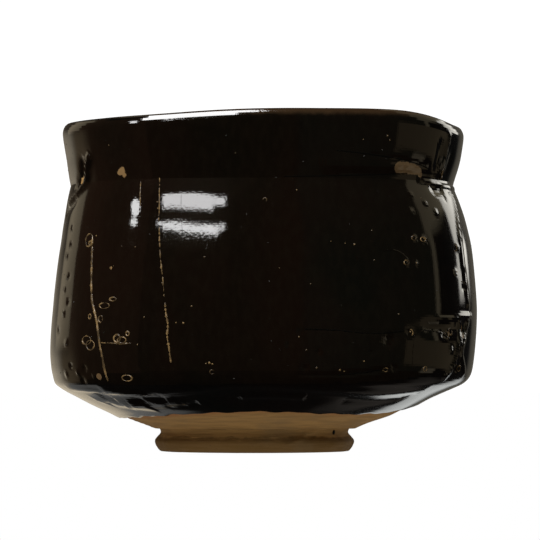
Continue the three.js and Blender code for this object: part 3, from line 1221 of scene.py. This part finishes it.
bpy.ops.object.select_all(action="DESELECT")
bpy.ops.mesh.primitive_plane_add(size=table_side, location=(0, 0, 0))
table = bpy.context.object
table.name = "table"
table.visible_glossy = False
white_table = bpy.data.materials.new("white_table")
white_table.use_nodes = True
tree = white_table.node_tree
tree.nodes.clear()
seen = add(tree, "LightPath").outputs["Is Camera Ray"]
glow = blended(tree, seen, warm_glow, (1, 1, 1, 1))
light = add(tree, "Emission", Color=glow, Strength=1.0).outputs[0]
tree.links.new(light, add(tree, "OutputMaterial").inputs["Surface"])
table.data.materials.append(white_table)
table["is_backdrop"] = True
print("table glow", table_glow)

# %% [markdown]
# ## The studio round the bowl
#
# A glossy bowl shows the room it stands in. The room is painted on the world by
# direction: how far round to the right of the camera's side, and how high. It has
# dim brown and olive boards in front, pale ones behind the bowl on both sides, one
# bright board far round to the right, and pale and dark ones low down, where the
# table would be. Later rows are painted over earlier ones.

# %% Studio
# From and to round from the camera, from and to in height, softness, light
boards = [
    (-119, 91, -78, -20, 4, (0.030, 0.022, 0.015)),
    (-124, -46, -24, 42, 2, (0.086, 0.048, 0.029)),
    (-46, 7, -24, 42, 2, (0.046, 0.031, 0.018)),
    (7, 91, -24, 42, 2, (0.036, 0.041, 0.030)),
    (-150, -124, 1, 70, 1.5, (0.54, 0.45, 0.31)),
    (-181, -150, 1, 70, 8, (0.06, 0.048, 0.034)),
    (-140, -114, -26, 0, 9, (0.28, 0.21, 0.13)),
    (-181, -140, -26, 0, 8, (0.66, 0.57, 0.43)),
    (91, 96, -2, 60, 1.5, (0.42, 0.36, 0.24)),
    (88, 150, 19, 60, 2, (0.42, 0.36, 0.24)),
    (126, 149, 4, 26, 2, (2.70, 2.60, 2.35)),
    (151, 181, -10, 70, 4, (0.11, 0.10, 0.08)),
    (61, 120, -14, -2, 1.5, (0.200, 0.160, 0.100)),
    (82, 97, -26, -15, 1.5, (0.40, 0.34, 0.24)),
    (-172, -142, -46, -22, 4, (0.29, 0.29, 0.28)),
    (104, 169, -52, -36, 4, (0.10, 0.09, 0.08)),
    (154, 178, -26, -13, 3, (0.85, 0.87, 0.85)),
]

room_dark = (0.012, 0.012, 0.012, 1)
background_white = (1.1, 1.1, 1.1, 1)

room = bpy.data.worlds.new("studio")
bpy.context.scene.world = room
room.use_nodes = True
tree = room.node_tree
looking = add(tree, "TexCoord").outputs["Generated"]
parts = add(tree, "SeparateXYZ", Vector=looking).outputs
to_camera = maths(tree, "MULTIPLY", parts["Y"], -1.0)
around = maths(tree, "DEGREES", maths(tree, "ARCTAN2", parts["X"], to_camera))
rise = maths(tree, "DEGREES", maths(tree, "ARCSINE", parts["Z"]))
light = room_dark
for left, right, low, high, soft, tint in boards:
    share = between(tree, around, left - soft, left + soft)
    share = maths(tree, "MULTIPLY", share, between(tree, around, right + soft, right - soft))
    share = maths(tree, "MULTIPLY", share, between(tree, rise, low - soft, low + soft))
    share = maths(tree, "MULTIPLY", share, between(tree, rise, high + soft, high - soft))
    light = blended(tree, share, light, (*tint, 1))
seen = add(tree, "LightPath").outputs["Is Camera Ray"]
light = blended(tree, seen, light, background_white)
tree.links.new(light, tree.nodes["Background"].inputs["Color"])
print(len(boards), "boards round the bowl")

# %% [markdown]
# ## The window
#
# The main light is a window up to the left of the camera, seen as two level bars on
# the belly. Each bar is a wide pane with a smaller one at both ends, which gives it
# its uneven outline. Two round lamps further left make the short marks beside them,
# and a large pane high up makes the bright strip along the lip. Width and height are
# the angles a pane fills as seen from the bowl. Area lights give cleaner edges here
# than boards painted on the world, and they light the bowl as well.

# %% Window
window_distance = 3.0
window_light = 13.5
bowl_middle = Vector((0, 0, 0.06))

# Turn and height in the sky, width and height in degrees, shape, strength
panes = [(-24.75, 27.6, 22.5, 4.1, "RECTANGLE", 1.0), (-9.95, 27.5, 3.55, 2.5, "RECTANGLE", 1.0),
         (-38.1, 27.4, 1.0, 2.6, "RECTANGLE", 1.0), (-22.75, 21.1, 24.6, 1.7, "RECTANGLE", 1.2),
         (-38.0, 20.95, 3.6, 0.8, "RECTANGLE", 1.2), (-8.5, 21.1, 1.8, 1.1, "RECTANGLE", 1.2),
         (-59.5, 23.3, 7.0, 3.6, "ELLIPSE", 0.9), (-58.8, 20.2, 6.0, 1.8, "ELLIPSE", 0.9),
         (-33.0, 50.0, 40, 22.0, "RECTANGLE", 1.75)]

for number, (turn, height, wide, tall, shape, strength) in enumerate(panes):
    pane = bpy.data.lights.new(f"window_{number}", "AREA")
    pane.shape = shape
    pane.size = 2 * window_distance * math.tan(math.radians(wide / 2))
    pane.size_y = 2 * window_distance * math.tan(math.radians(tall / 2))
    pane.energy = strength * window_light * math.pi * pane.size * pane.size_y
    stand = bpy.data.objects.new(f"window_{number}", pane)
    bpy.context.collection.objects.link(stand)
    turn, height = math.radians(turn), math.radians(height)
    across, ahead = math.sin(turn) * math.cos(height), math.cos(turn) * math.cos(height)
    stand.location = Vector((across, -ahead, math.sin(height))) * window_distance + bowl_middle
    to_bowl = bowl_middle - stand.location
    stand.rotation_euler = to_bowl.to_track_quat("-Z", "Y").to_euler()
    print(f"pane {number}: {pane.size:.2f} by {pane.size_y:.2f} m")

# %% Sizes
low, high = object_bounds()
print("visual box", [round(v, 4) for v in low], [round(v, 4) for v in high])
